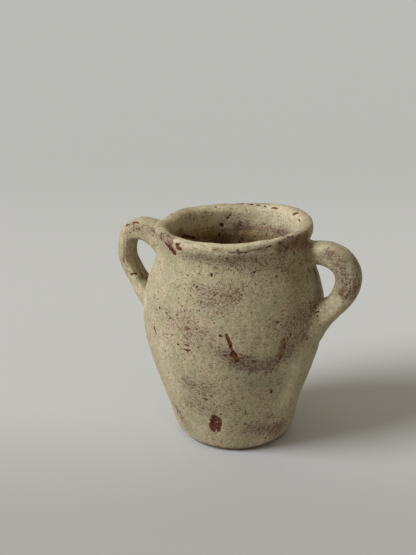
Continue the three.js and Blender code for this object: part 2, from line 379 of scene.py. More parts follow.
# From the upper root to the lower, four rows give the strap's place and section, as shares of its
# span, reach, thickness and width. Two more give how its outer and inner corners are rounded, and how
# much its upper and lower roots are smoothed.
right_strap = {
    "side": 1,
    "root": 151.5 * mm,
    "span": 58.5 * mm,
    "reach": 29.5 * mm,
    "thickness": 17 * mm,
    "width": 21 * mm,
    "down": (0.02, -0.045, -0.045, 0.02, 0.165, 0.35, 0.57, 0.75, 1),
    "out": (-0.04, 0.27, 0.58, 0.9, 1.01, 0.86, 0.5, 0.1, -0.37),
    "thick": (0.93, 0.90, 0.95, 1.02, 1.03, 1.04, 0.98, 0.88, 0.88),
    "wide": (1.05, 1, 1, 1, 1, 1, 1.02, 1.1, 1.24),
    "corners": (0.36, 0.3),
    "smoothing": (0.45, 1),
}
left_strap = {
    "side": -1,
    "root": 155.5 * mm,
    "span": 66.5 * mm,
    "reach": 32.5 * mm,
    "thickness": 13.5 * mm,
    "width": 20 * mm,
    "down": (0.07, 0.012, -0.028, 0.02, 0.18, 0.36, 0.545, 0.715, 0.96),
    "out": (-0.11, 0.25, 0.58, 0.955, 1.02, 0.865, 0.55, 0.24, -0.3),
    "thick": (1.75, 1.5, 1.27, 1.07, 0.87, 0.84, 0.84, 0.87, 0.89),
    "wide": (1.1, 1.02, 1, 0.98, 0.98, 0.98, 1, 1.1, 1.2),
    "corners": (0.46, 0.24),
    "smoothing": (1, 1),
}


def wall_reach(height):
    """How far the wall's outside is from the pot's own centre, along X."""
    return outer_radius(height) * (1 - mouth_squeeze * mouth_share(height))


def strap_point(strap, part):
    """A point of the strap's centre line, on a smooth curve through its stations."""
    centres = []
    for down, out in zip(strap["down"], strap["out"]):
        height = strap["root"] - down * strap["span"]
        across = strap["side"] * (wall_reach(height) + out * strap["reach"])
        centres.append(Vector((foot.x + lean_at(height) + across, 0, height)))
    centres = [2 * centres[0] - centres[1], *centres, 2 * centres[-1] - centres[-2]]
    place = part * (len(centres) - 3)
    first = min(int(place), len(centres) - 4)
    t = place - first
    a, b, c, d = centres[first:first + 4]
    return 0.5 * (
        2 * b + (c - a) * t + (2 * a - 5 * b + 4 * c - d) * t**2 + (3 * b - a - 3 * c + d) * t**3
    )


def share_at(shares, part):
    """The share part of the way along the strap, with a smooth change from one station to the next."""
    place = part * (len(shares) - 1)
    first = min(int(place), len(shares) - 2)
    return shares[first] + (shares[first + 1] - shares[first]) * soft_step(place - first, 0, 1)


def strap_length(strap):
    points = [strap_point(strap, part) for part in np.linspace(0, 1, length_steps)]
    return sum((b - a).length for a, b in zip(points, points[1:]))


def strap_root(strap, parts):
    """The first part along the strap, of those given, where its centre line is outside the wall."""
    for part in parts:
        point = strap_point(strap, part)
        if abs(point.x - foot.x - lean_at(point.z)) > wall_reach(point.z):
            return part
    return parts[-1]


def cut_section(outer_corner, inner_corner):
    """One closed edge of a unit strap section: X is outwards, Y is across the strap."""
    select_only()
    bpy.ops.mesh.primitive_plane_add(size=1)
    section = bpy.context.object
    select_parts(section, "VERT", lambda vertex: vertex.co.x > 0)
    bpy.ops.mesh.bevel(affect="VERTICES", offset=outer_corner, segments=outer_corner_steps)
    select_parts(section, "VERT", lambda vertex: vertex.co.x < 0)
    bpy.ops.mesh.bevel(affect="VERTICES", offset=inner_corner, segments=inner_corner_steps)
    bpy.ops.mesh.select_all(action="SELECT")
    bpy.ops.mesh.delete(type="ONLY_FACE")
    bpy.ops.object.mode_set(mode="OBJECT")
    return section


def pull_strap(strap, parts, margins):
    """A closed strap between two parts of its centre line, grown all round by the margins."""
    first = cut_section(*strap["corners"])
    for part, margin in zip(parts, margins):
        bpy.ops.object.duplicate()
        section = bpy.context.object
        forward = strap_point(strap, part + direction_step) - strap_point(strap, part - direction_step)
        outward = strap["side"] * forward.cross(Vector((0, 1, 0)))
        thick = strap["thickness"] * share_at(strap["thick"], part) + 2 * margin
        wide = strap["width"] * share_at(strap["wide"], part) + 2 * margin
        section.location = strap_point(strap, part)
        section.rotation_euler = (0, math.atan2(-outward.z, outward.x), 0)
        section.scale = (thick, wide, 1)
        section["station"] = True
    bpy.data.objects.remove(first)
    stations = [piece for piece in bpy.context.scene.objects if piece.get("station")]
    for section in stations:
        del section["station"]
    select_only(*stations)
    bpy.ops.object.join()
    bpy.ops.object.transform_apply()
    bpy.ops.object.mode_set(mode="EDIT")
    bpy.ops.mesh.select_all(action="SELECT")
    bpy.ops.mesh.bridge_edge_loops()
    bpy.ops.mesh.select_all(action="DESELECT")
    bpy.ops.mesh.select_non_manifold()
    bpy.ops.mesh.edge_face_add()
    close_skin()
    return bpy.context.object


soft_pieces = [clay]
roots = []
for strap in (right_strap, left_strap):
    parts = np.linspace(0, 1, strap_steps)
    soft_pieces.append(pull_strap(strap, parts, np.zeros(strap_steps)))
    reach = collar_reach / strap_length(strap)
    upper = strap_root(strap, np.linspace(0, 0.5, root_steps))
    lower = strap_root(strap, np.linspace(1, 0.5, root_steps))
    roots += zip((strap_point(strap, upper), strap_point(strap, lower)), strap["smoothing"])
    for root, away in ((upper, 1), (lower, -1)):
        share = np.linspace(-1, 1, collar_steps)
        parts = np.clip(root + away * reach * share, 0, 1)
        margins = collar_edge + collar_spread * ((1 - share) / 2) ** 2
        soft_pieces.append(pull_strap(strap, parts, margins))

# The joined clay
# Straps and cup are pressed together while soft, and the roots are smoothed into the wall. The
# whole skin then gets the unevenness that hands leave.
voxel = 0.95 * mm
root_smoothing = 30
skin_smoothing = 2
faintest_weight = 0.001
root_core = 13 * mm
root_edge = 24 * mm
hand_swell = 1.1 * mm
hand_swell_size = 42 * mm
finger_dents = 0.5 * mm
finger_dents_size = 9 * mm
flat_foot = (0.5 * mm, 5 * mm)
lip_wave = 0.9 * mm
lip_wave_size = 13 * mm
lip_zone = (150 * mm, 163 * mm)

select_only(*soft_pieces)
bpy.ops.object.join()


def finish_with(piece, kind, **settings):
    """Adds a modifier, sets it and applies it."""
    bpy.context.view_layer.objects.active = piece
    modifier = piece.modifiers.new(kind.lower(), kind)
    for name, value in settings.items():
        setattr(modifier, name, value)
    bpy.ops.object.modifier_apply(modifier=modifier.name)


def places_of(piece):
    """The places of all of a piece's vertices, one to a row."""
    places = np.empty(3 * len(piece.data.vertices))
    piece.data.vertices.foreach_get("co", places)
    return places.reshape(-1, 3)


def weigh(piece, name, weights):
    """A vertex group that holds a weight from 0 to 1 for each vertex."""
    group = piece.vertex_groups.new(name=name)
    for index in np.flatnonzero(weights > faintest_weight):
        group.add([int(index)], float(weights[index]), "REPLACE")


finish_with(clay, "REMESH", mode="VOXEL", voxel_size=voxel)
places = places_of(clay)
smoothed = np.zeros(len(places))
for root, strength in roots:
    away = np.linalg.norm(places - np.array(root), axis=1)
    smoothed = np.maximum(smoothed, strength * (1 - soft_step(away, root_core, root_edge)))
weigh(clay, "roots", smoothed)
finish_with(clay, "SMOOTH", factor=0.5, iterations=root_smoothing, vertex_group="roots")
finish_with(clay, "SMOOTH", factor=0.5, iterations=skin_smoothing)
weigh(clay, "off_the_foot", soft_step(places[:, 2], *flat_foot))
weigh(clay, "lip", soft_step(places[:, 2], *lip_zone))
for name, size, depth, zone in (
    ("swell", hand_swell_size, hand_swell, "off_the_foot"),
    ("dents", finger_dents_size, finger_dents, "off_the_foot"),
    ("wave", lip_wave_size, lip_wave, "lip"),
):
    pattern = bpy.data.textures.new(name, "CLOUDS")
    pattern.noise_scale = size
    pattern.noise_depth = 1
    finish_with(clay, "DISPLACE", texture=pattern, strength=depth, mid_level=0.5, vertex_group=zone)

# Marks on the skin
# The wash is chipped, pitted, scratched, stained, rubbed thin and laid on thick in places, and dirt
# lies in the hollows. Many of the grime marks are painted shade instead, under the lip, at the strap
# roots and on the side away from the lamp; two worn marks are painted shade too, and many of the thick
# marks are painted light. The camera's rays carry what the photograph shows from its pixels to the
# clay: the two ends of each mark, with its size in mm, and its strength where that isn't 1.
bare_foot = 1.2 * mm
heel_dirt = (2 * mm, 6 * mm)
inside_skin = (2.5 * mm, 6.5 * mm)
hollow_depth = (4 * mm, 34 * mm)
mark_limit = 4.0
hard_marks = ("chip", "pit", "scratch")
soft_edged_marks = ("stain", "worn", "thick", "grime")
clay_faces = [face.vertices for face in clay.data.polygons]
clay_tree = BVHTree.FromPolygons([vertex.co for vertex in clay.data.vertices], clay_faces)
chips = {
    "heel chip, upper lobe": ((214.5, 417.5), (219, 420.5), 2.5),
    "heel chip, left lobe": ((211, 425), (214, 431), 1.9),
    "heel chip, right edge": ((220, 422), (218, 431), 1.8),
    "heel chip, middle": ((213, 421), (217, 428), 2.3),
    "spot under the heel chip": ((217, 437), (219, 439), 0.7),
    "streak, top": ((226.8, 336), (230, 343), 1.5),
    "streak, middle": ((230, 343), (233.5, 353), 1.2),
    "streak, foot": ((233, 354), (237.5, 360), 2.1),
    "tick beside the streak": ((220, 335.5), (222.5, 337), 0.7),
    "dash on the left": ((154, 328), (155.5, 334), 1.2),
    "lip chip, left, top": ((165.5, 244), (170, 248), 1.4),
    "lip chip, left, foot": ((170, 248), (173.6, 252), 2.7),
    "lip chip, middle": ((177, 245), (178, 248.5), 1.7),
    "lip chip, middle, right arm": ((178.5, 248.5), (181, 249.5), 1.2),
    "lip chip, middle, tail": ((178, 245), (181, 242), 0.8),
    "dot on the shoulder": ((211.8, 274.5), (212.4, 276), 1.0),
    "cluster on the left, top": ((156, 309), (156.4, 310), 0.7),
    "cluster on the left, low": ((155, 313.2), (158, 314), 0.6),
    "cluster on the left, right": ((159.5, 307.5), (159.7, 308), 0.6),
    "dot on the left belly": ((170, 319), (172, 319.3), 0.9),
    "second dot on the left belly": ((172, 324.5), (172.5, 325), 0.8),
    "dot by the pair": ((186, 345.5), (188, 346), 1.1),
    "dash under the pair": ((181, 349.5), (190, 350.5), 0.7),
    "dash on the lower wall": ((203, 383.5), (206, 384.5), 0.8),
    "dash lower down": ((205, 399.5), (208, 400), 0.8),
    "dash to its left": ((193, 406), (194.5, 407), 0.7),
    "dot on the lower right": ((271, 390), (271.2, 392.5), 0.8),
    "chip inside the lip": ((294, 214), (297, 212.8), 1.5),
    "spot inside the lip": ((298.6, 219.5), (299.6, 222), 0.7),
    "second spot inside the lip": ((289.8, 221.5), (290.2, 222), 0.6),
    "dash under the right of the lip": ((289, 237), (293.5, 236.3), 0.8),
    "dash on the right neck": ((314.1, 268), (315.2, 272), 0.9),
    "dot on the right neck": ((310, 269.5), (310, 270.5), 0.7),
    "dash on the left strap": ((133, 222.2), (139.6, 222.6), 0.7),
    "dash lower on the left strap": ((126.5, 225), (130.5, 224), 0.6),
    "chip at the top of the loop": ((132.6, 241), (134.8, 239), 0.9),
    "dash low on the left strap": ((131, 274.2), (136.5, 273.8), 0.7),
    "left edge of the heel": ((181, 424), (184, 428), 0.7),
    "back crest, first": ((236.5, 203.8), (243, 203.8), 0.8),
    "back crest, second": ((248.5, 204.2), (253, 204.4), 0.8),
    "back crest, third": ((257.5, 204.8), (260, 205), 0.8),
    "back crest, fourth": ((264.5, 206.4), (265.5, 206.8), 0.9),
    "back crest, fifth": ((272.5, 207.5), (277.5, 208.4), 1.0),
    "left rim, first": ((157.5, 235), (160, 238.5), 0.6),
    "left rim, second": ((161, 237), (162, 241), 0.5),
    "left rim, third": ((160.5, 232.5), (162, 234), 0.5),
    "behind the front lip": ((182, 236.5), (194, 238.5), 1.6),
    "spot inside, lower": ((220.8, 224.8), (222.6, 225.2), 1.3),
}
pits = {
    "black spot inside": ((227.8, 218), (228.8, 217.6), 0.9),
    "over it": ((230, 215.6), (230.4, 215), 0.6),
    "beside it": ((231.6, 213.6), (232, 213.2), 0.5),
    "spot inside, lowest": ((218.8, 235.4), (219.4, 234.4), 0.9),
    "pair inside, left": ((189.8, 219.5), (190.2, 219.6), 0.7),
    "pair inside, right": ((193.9, 219.5), (194.5, 219.8), 0.8),
    "spot on the far rim": ((215.8, 206.8), (217, 206.5), 0.9),
    "left one of two dots": ((190.3, 311.6), (190.6, 311.8), 0.7),
    "right one of two dots": ((199.2, 311.1), (199.4, 311.3), 0.7),
    "dot over the streak": ((238.4, 351.2), (238.6, 351.4), 0.5),
    "dot on the right belly": ((314.2, 352.8), (314.4, 353), 0.8),
    "cluster on the right": ((276.5, 322.2), (278.5, 322.6), 0.9),
    "cluster, left of it": ((269.6, 326.5), (270, 327), 0.7),
    "cluster, under it": ((275.5, 329.5), (275.8, 330), 0.7),
    "dot by the stain": ((291, 333.5), (291, 336), 0.8),
    "dot at the right": ((291, 300), (291.2, 300.5), 0.6),
    "dash on the front neck": ((252, 273.5), (257, 272), 0.6),
    "dash under the lip, right": ((286, 248.5), (288, 248.2), 0.9),
    "hollow under the lip": ((294.2, 251.5), (294.8, 254.5), 0.9),
    "dot on the right shoulder": ((307, 276), (307.5, 277), 0.8),
    "crack under the lip, left": ((229, 252.8), (241, 253.2), 0.6),
    "crack under the lip, middle": ((240, 253.2), (247, 252.6), 0.8),
    "crack under the lip, right": ((248, 251.5), (262, 248.8), 0.6),
    "crack under the lip, end": ((266, 247.5), (284, 241.5), 0.4),
    "nick in the right root": ((316, 312.8), (318.5, 311.6), 0.7),
    "dot inside the right strap": ((336.3, 279.5), (336.6, 281), 0.7),
    "dot on the right strap": ((353.8, 275), (354, 275.4), 0.7),
    "spot low on the right strap": ((344.3, 297), (346.5, 297.6), 0.8),
    "dots on the lower wall": ((284.8, 373.8), (285.2, 374.2), 0.6),
    "dash on the right lower wall": ((279, 383.4), (281.5, 383.3), 0.5),
    "dot on the left wall": ((184, 386.6), (184.2, 386.8), 0.6),
    "under the lip, first dot": ((302.6, 244), (303.2, 244.6), 0.8),
    "under the lip, second dot": ((307.6, 236), (308.4, 235.2), 0.7),
    "under the lip, third dot": ((297, 240), (298.4, 239.2), 0.6),
    "spot in the back of the mouth": ((247, 211), (247.6, 211.4), 0.5),
    "spot in the mouth, middle": ((241, 222.6), (241.8, 223), 0.6),
    "spot in the mouth, right": ((263.4, 224), (264.2, 224.4), 0.7),
    "spot in the mouth, far right": ((266.6, 228.6), (267.6, 229), 0.6),
    "spot in the mouth, left": ((205, 213), (209, 213.4), 0.5),
    "heel chip, dark hook": ((211.6, 421), (215, 425), 0.7),
    "heel chip, dark notch": ((215, 430.6), (216.4, 433), 0.7),
    "dot on the ridge of the right strap": ((348.4, 275), (349, 276), 0.6),
    "second dot on the ridge": ((350.4, 281), (350.8, 282), 0.6),
    "third dot on the ridge": ((346, 268), (346.6, 269), 0.5),
    "dot by the heel": ((214.4, 393.4), (214.6, 393.5), 0.7),
    "dot on the left": ((177.5, 344), (178.5, 345), 0.7),
}
scratches = {
    "left shoulder, upright": ((174.5, 282), (177.5, 290), 0.5),
    "left shoulder, branch": ((181, 284), (177.8, 287.5), 0.5),
    "left shoulder, slope": ((186, 284), (191, 291), 0.5),
    "left shoulder, low slope": ((167, 294), (171, 299), 0.45),
    "left belly, dash": ((161, 308.5), (168, 309.5), 0.5),
    "left belly, line": ((175, 322), (181, 330), 0.45),
    "lip front, left line": ((184, 242), (205, 246), 0.6),
    "lip front, second line": ((203, 242), (214, 248), 0.5),
    "lip front, short mark": ((193, 249), (197, 248.5), 0.6),
    "neck, hairline": ((250, 256), (253, 262), 0.5),
    "inner crease": ((248, 227), (279, 235.3), 0.6),
    "left of the heel chip": ((199, 410), (210, 418), 0.45),
    "left belly, low dash": ((163, 333.5), (169, 334.5), 0.5),
    "left strap, ridge": ((124.5, 238), (124, 262), 0.8),
    "under the right root": ((296, 338), (305, 328), 0.8),
    "left rim, slope": ((159.5, 236), (163, 241), 0.7),
    "left rim, low slope": ((162, 243), (168, 250), 0.6),
    "left rim, inner edge": ((168, 235), (173, 240), 0.6),
    "left rim, short dash": ((156, 228), (160, 226.5), 0.6),
    "under the lip, right, upper": ((278, 244), (300, 235.5), 0.6),
    "under the lip, right, lower": ((284, 247), (306, 237), 0.6),
    "right strap, ridge": ((347, 262), (351, 290), 0.6),
    "right strap, under the ridge": ((351, 290), (343, 303), 0.6),
    "right shoulder, upright": ((316, 274), (321, 296), 0.6),
    "left strap, edge of the face": ((127, 238), (127.5, 262), 0.7),
    "left strap, inner edge": ((134, 240), (137, 262), 0.5),
}
stains = {
    "orange stain": ((283.5, 341), (281.5, 353), 4.6),
    "orange spot on the right strap": ((341.6, 291), (340.8, 294), 3.2),
    "orange spot on the left belly": ((185.5, 328), (187.5, 328.6), 2.6),
    "stain in the left root": ((147, 276.5), (146.4, 279.5), 2.2, 0.8),
    "stain on the right neck": ((314.5, 267), (316, 275), 2.6, 0.8),
}
worn_places = {
    "band on the belly, left": ((228, 357), (246, 364), 11),
    "band on the belly, middle": ((246, 363), (270, 365), 11),
    "band on the belly, right": ((270, 364), (290, 352), 9),
    "beside the orange stain": ((286, 347), (306, 334), 14, 0.8),
    "under the right root": ((296, 322), (312, 312), 14, 0.75),
    "right of the belly": ((284, 332), (298, 316), 11, 0.6),
    "front of the shoulder": ((200, 293), (236, 296), 15, 0.75),
    "shoulder, lower": ((206, 306), (222, 310), 12, 0.6),
    "left belly": ((172, 316), (202, 332), 18, 0.45),
    "left of the streak": ((190, 338), (216, 348), 16, 0.45),
    "lower left": ((188, 384), (204, 390), 15, 0.65),
    "left of the heel chip": ((194, 402), (204, 408), 16, 0.65),
    "left edge, low": ((178, 410), (188, 428), 11, 0.7),
    "right of the heel": ((250, 429), (280, 426), 12, 0.8),
    "heel, right corner": ((272, 432), (284, 426), 10, 0.6),
    "lower right": ((254, 380), (288, 382), 19, 0.45),
    "neck under the lip": ((190, 256), (236, 259), 9, 0.6),
    "neck, front right": ((240, 257), (284, 252), 9, 0.6),
    "right strap, top": ((328, 253), (340, 262), 8),
    "right strap, bend": ((340, 262), (347, 290), 9),
    "right strap, low": ((347, 290), (342, 298), 6, 0.6),
    "right strap, outer edge": ((355, 262), (353, 294), 10, 0.7),
    "left strap, ridge": ((127, 236), (126, 260), 5, 0.5),
    "left strap, top": ((130, 226), (146, 228), 7, 0.6),
    "left upper root": ((153, 232), (163, 236), 6),
    "left of the lip": ((163, 233), (172, 243), 7),
    "wall of the right loop": ((314, 270), (318, 290), 10, 0.5),
    "inside, right smear": ((240, 226), (284, 234), 8),
    "inside, back": ((206, 212), (232, 224), 9, 0.25),
    "inside, specks at the back": ((232, 213), (284, 220), 14, 0.15),
    # These two are painted shade: the shadow in the groove round the front of the neck, and the shade
    # on the front right of the shoulder.
    "neck, groove": ((228, 265), (280, 262), 9, 0.4),
    "front right shoulder": ((250, 280), (272, 302), 26, 0.2),
    "band on the belly, core": ((234, 363), (266, 368), 7),
    "under the lip, far right": ((282, 245), (305, 240), 9),
}
# Wash left thick, and painted light: most of these lighter patches stand for light falling more
# strongly on the lip, the straps and roots, the lower wall and the inside of the mouth.
thick_places = {
    "lip, front left": ((176, 240), (214, 246), 8),
    "lip, front": ((214, 248.5), (268, 246), 10),
    "lip, left": ((160, 228), (166, 234), 7, 0.6),
    "lip, front right": ((262, 244), (290, 234), 6),
    "lower left": ((162, 348), (172, 384), 24, 0.5),
    "left lower root": ((140, 290), (145, 303), 12, 0.75),
    "left strap, top": ((128, 222), (150, 224), 11, 0.3),
    "left strap, faces": ((124, 240), (134, 278), 9, 0.7),
    "heel": ((190, 436), (262, 440), 10, 0.5),
    "right strap, top": ((317, 250), (328, 247), 9, 0.6),
    "right strap, low": ((335, 303), (326, 312), 11),
    "right lower root": ((318, 316), (312, 330), 9),
    "lower right": ((284, 402), (295, 368), 17, 0.7),
    "inside, right": ((280, 216), (298, 226), 15),
    "inside, back": ((206, 213), (274, 212), 18),
    "inside, left": ((172, 222), (204, 226), 14, 0.85),
    "inside of the left strap": ((133, 246), (137, 270), 6, 0.9),
}
# Grime marks, most of them painted shade: under the lip, beside and under the strap roots, inside the
# loops, on the shaded outside of the right strap, behind the front lip, and on the right of the neck
# and shoulder, which is brown as well as shaded. The smears inside the mouth are dirt.
grimy_places = {
    "under the front of the lip": ((214, 250), (262, 250), 3),
    "neck beside the right strap": ((309, 245), (311, 258), 7),
    "under the right of the lip": ((262, 249.5), (300, 239), 4),
    "under the lip, right": ((284, 246), (306, 238), 10, 0.7),
    "right of the neck": ((300, 252), (308, 262), 13, 0.6),
    "right shoulder": ((294, 274), (298, 296), 24, 0.6),
    "under the right root, in": ((306, 318), (312, 306), 12, 0.3),
    "inside the right strap": ((335, 270), (336, 290), 4, 0.4),
    "left root, inside": ((143, 276), (147, 282), 4),
    "inside the left strap": ((133, 250), (140, 272), 4, 0.7),
    "under the far right of the lip": ((296, 242), (309, 234), 6, 0.5),
    "outside of the right strap": ((356, 260), (358, 292), 9, 0.4),
    "behind the front lip": ((178, 234), (226, 241), 9),
    "inside, right smear": ((236, 230), (284, 236), 6, 0.7),
    "inside, back": ((206, 218), (236, 226), 9, 0.15),
}

# The back, which the photograph doesn't show, is marked in the manner of the front. The two ends are
# given in degrees round from the right handle, and in millimetres up.
chips_behind = {
    "belly": ((82, 84), (83, 81.5), 1.4),
    "belly, lower lobe": ((84.8, 80.4), (86, 78), 2.0),
    "belly, dot beside it": ((90, 88), (90.4, 87.6), 0.7),
    "shoulder": ((118, 126), (119.6, 125), 0.9),
    "shoulder, tail": ((121.4, 124), (122, 122.6), 0.6),
    "shoulder, near the right strap": ((38, 118), (38.6, 115), 0.8),
    "heel": ((128, 23), (130, 20), 1.8),
    "heel, lobe": ((133.4, 22.4), (134, 21), 1.2),
    "lower wall": ((62, 46), (63.6, 45.2), 0.8),
    "lip": ((70, 164), (72, 164.6), 0.8),
    "lip, beside it": ((74.6, 165.6), (77, 165), 1.0),
    "lip, near the left strap": ((150, 166), (152, 165), 0.9),
}
pits_behind = {
    "shoulder": ((72, 118), (73, 117.6), 0.7),
    "belly": ((104, 88), (104.5, 87), 0.8),
    "lower wall": ((84, 52), (84.6, 52), 0.6),
    "beside the right strap": ((26, 132), (27, 132), 0.7),
    "beside the left strap": ((164, 128), (165, 126), 0.7),
}
worn_behind = {
    "belly": ((58, 92), (96, 85), 20, 0.65),
    "shoulder": ((104, 128), (142, 124), 18, 0.55),
    "lower wall": ((118, 54), (152, 44), 24, 0.6),
    "heel": ((66, 16), (112, 12), 16, 0.65),
    "beside the left root": ((158, 98), (172, 82), 18, 0.5),
    "under the lip": ((6, 155), (90, 153), 11, 0.55),
    "beside the right root": ((8, 108), (34, 96), 20, 0.55),
}
thick_behind = {
    "under the neck": ((58, 138), (96, 136), 16, 0.7),
    "lower wall": ((44, 66), (92, 46), 24, 0.5),
    "belly": ((124, 100), (150, 92), 16, 0.5),
}


def land(pixel):
    """Where a pixel of the photograph lies on the clay, or at the outline, the clay nearest to it."""
    ray = photo_ray(*pixel)
    place = clay_tree.ray_cast(camera_place, ray)[0]
    if place is None:
        beside = camera_place + ray * (foot - camera_place).dot(ray)
        place = clay_tree.find_nearest(beside)[0]
    return np.array(place)


def land_behind(spot):
    """Where the outside of the clay is at a bearing round the pot and a height."""
    bearing = math.radians(spot[0])
    out = Vector((math.cos(bearing), math.sin(bearing), 0))
    start = foot + 2 * belly_radius * out + Vector((0, 0, spot[1] * mm))
    return np.array(clay_tree.ray_cast(start, -out)[0])


def lay_out(marks, put_down):
    """The two ends of each mark on the clay, its size, and its strength, 1 if none is given."""
    return [(put_down(start), put_down(end), size * mm, *(strength or [1]))
            for start, end, size, *strength in marks.values()]


front = {
    "chip": chips,
    "pit": pits,
    "scratch": scratches,
    "stain": stains,
    "worn": worn_places,
    "thick": thick_places,
    "grime": grimy_places,
}
back = {"chip": chips_behind, "pit": pits_behind, "worn": worn_behind, "thick": thick_behind}
lines = {name: lay_out(marks, land) for name, marks in front.items()}
for name, marks in back.items():
    lines[name] += lay_out(marks, land_behind)


def distance_to(places, start, end):
    """The distance from each place to a short line."""
    along = end - start
    t = np.clip((places - start) @ along / max(along @ along, 1e-12), 0, 1)
    return np.linalg.norm(places - start - t[:, None] * along, axis=1)


def inside_marks(places, marks):
    """How far each place lies inside the nearest mark, in millimetres, and less than 0 outside."""
    depth = np.full(len(places), -mark_limit)
    for start, end, size, _ in marks:
        depth = np.maximum(depth, (size - distance_to(places, start, end)) / mm)
    return depth


def soft_marks(places, marks):
    """Full in the middle of a mark, fading to 0 at its edge; marks that overlap run into each other."""
    free = np.ones(len(places))
    for start, end, size, strength in marks:
        free *= 1 - strength * soft_step(1 - distance_to(places, start, end) / size, 0, 1)
    return 1 - free


def paint(piece):
    """Writes on a piece where its marks are, as attributes that its material reads."""
    places = places_of(piece)
    radius = np.hypot(places[:, 0] - foot.x, places[:, 1])
    inside = soft_step(outer_radius(places[:, 2]) - radius, *inside_skin)
    depth = soft_step(pot_height - places[:, 2], *hollow_depth)
    masks = {name: inside_marks(places, lines[name]) for name in hard_marks}
    masks |= {name: soft_marks(places, lines[name]) for name in soft_edged_marks}
    masks["chip"] = np.maximum(masks["chip"], (bare_foot - places[:, 2]) / mm)
    # The foot is darker towards the floor, over its lowest few millimetres
    masks["grime"] = np.maximum(masks["grime"], 1 - soft_step(places[:, 2], *heel_dirt))
    # The hollow mark grows down the inside; the finish turns it to browner clay and painted shade
    masks["hollow"] = inside * depth
    for name, values in masks.items():
        mask = piece.data.attributes.new(name, "FLOAT", "POINT")
        mask.data.foreach_set("value", values.astype(np.float32))


# Chips and pits are dents in the skin, with sides that slope over about a millimetre
chip_depth = 0.55 * mm
chip_sides = (-0.5, 0.6)
pit_depth = 0.5 * mm
pit_sides = (-0.5, 0.5)
places = places_of(clay)
weigh(clay, "chips", soft_step(inside_marks(places, lines["chip"]), *chip_sides))
weigh(clay, "pits", soft_step(inside_marks(places, lines["pit"]), *pit_sides))
finish_with(clay, "DISPLACE", strength=-chip_depth, mid_level=0, vertex_group="chips")
finish_with(clay, "DISPLACE", strength=-pit_depth, mid_level=0, vertex_group="pits")

# The finish
# Matt limewash, brushed thin over red earthenware: cream, cloudy, speckled, pitted and rubbed to a
# mauve grey in places, with red clay in the chips, and brown dirt and painted shade in the hollows,
# under the lip and on the side away from the lamp.
cream = (0.388, 0.339, 0.207, 1)
cream_green = (0.331, 0.296, 0.187, 1)
cream_thick = (0.510, 0.450, 0.295, 1)
cream_pink = (0.405, 0.332, 0.222, 1)
worn_mauve = (0.258, 0.198, 0.150, 1)
speck_brown = (0.112, 0.060, 0.040, 1)
fleck_red = (0.090, 0.040, 0.024, 1)
chip_red = (0.158, 0.050, 0.021, 1)
chip_dark = (0.062, 0.018, 0.009, 1)
pit_black = (0.034, 0.017, 0.009, 1)
stain_orange = (0.205, 0.108, 0.046, 1)
grime_brown = (0.185, 0.120, 0.052, 1)
hollow_brown = (0.350, 0.246, 0.112, 1)
hollow_dark = (0.200, 0.096, 0.018, 1)
stain_dark = (0.085, 0.036, 0.014, 1)
hair_cell = 6.5 * mm
hair_bend = 4 * mm
flake_cell = 9 * mm
pinhole_cell = 3.3 * mm
relief_strength = 0.55
relief_depth = 0.7 * mm
clay_gloss = 0.2


def noise(tree, place, size, detail=2, stretch=(1, 1, 1)):
    """Noise whose features are about as large as the size in metres, drawn out along an axis or not."""
    if stretch != (1, 1, 1):
        place = put(tree, "VectorMath", {0: place, 1: stretch}, operation="MULTIPLY").outputs[0]
    inputs = {"Vector": place, "Scale": 1 / size, "Detail": detail}
    return put(tree, "TexNoise", inputs).outputs["Fac"]


def total(tree, *terms):
    """The sum of each value times its weight."""
    result = 0.0
    for value, weight in terms:
        step = put(tree, "Math", {0: value, 1: weight, 2: result}, operation="MULTIPLY_ADD")
        result = step.outputs[0]
    return result


wash = bpy.data.node_groups.new("limewash on red clay", "ShaderNodeTree")
for name in (*hard_marks, *soft_edged_marks, "hollow"):
    socket = wash.interface.new_socket(name.title(), in_out="INPUT", socket_type="NodeSocketFloat")
    if name in hard_marks:
        socket.default_value = -mark_limit
for name, kind in (("Colour", "Color"), ("Roughness", "Float"), ("Height", "Float")):
    wash.interface.new_socket(name, in_out="OUTPUT", socket_type="NodeSocket" + kind)
given = wash.nodes.new("NodeGroupInput").outputs
place = put(wash, "TexCoord").outputs["Object"]

# Noises, from the size of a hand to that of a grain of lime
clouds = noise(wash, place, 45 * mm, 3)
patches = noise(wash, place, 26 * mm, 2)
blotches = noise(wash, place, 12 * mm, 4)
mottle = noise(wash, place, 4.5 * mm, 4)
crumbs = noise(wash, place, 2.6 * mm, 3)
grain = noise(wash, place, 1.7 * mm, 3)
dust = noise(wash, place, 0.9 * mm, 2)
strokes = noise(wash, place, 1.9 * mm, 3, (1, 1, 1.5))
wiped = noise(wash, place, 30 * mm, 3, (1, 1, 14))
runs = noise(wash, place, 60 * mm, 3, (14, 14, 1))

# The wash itself: cream that turns greenish or pinkish, uneven as it was brushed
tone = total(wash, (clouds, 1.0), (blotches, 0.7), (wiped, 0.4), (runs, 0.5))
colour = tint(wash, ramp(wash, tone, 1.08, 1.5), cream_green, cream)
pinkness = total(wash, (patches, 1.0), (blotches, 0.5))
colour = tint(wash, ramp(wash, pinkness, 0.74, 0.95, 0.7), colour, cream_pink)

# Thick wash is lighter; where the front is marked thick, this is also painted light
thick = total(wash, (given["Thick"], 1.0), (mottle, 0.5))
colour = tint(wash, ramp(wash, thick, 0.35, 1.2, 0.85), colour, cream_thick)

# Inside, less wash and more of the clay show towards the floor, and painted shade darkens it deeper in
# the pot
inner = total(wash, (given["Hollow"], 1.3), (wiped, 2.0), (blotches, 0.5), (crumbs, 0.5))
colour = tint(wash, ramp(wash, inner, 1.75, 2.35, 0.9), colour, hollow_brown)
colour = tint(wash, ramp(wash, inner, 2.5, 3.1, 0.9), colour, hollow_dark)

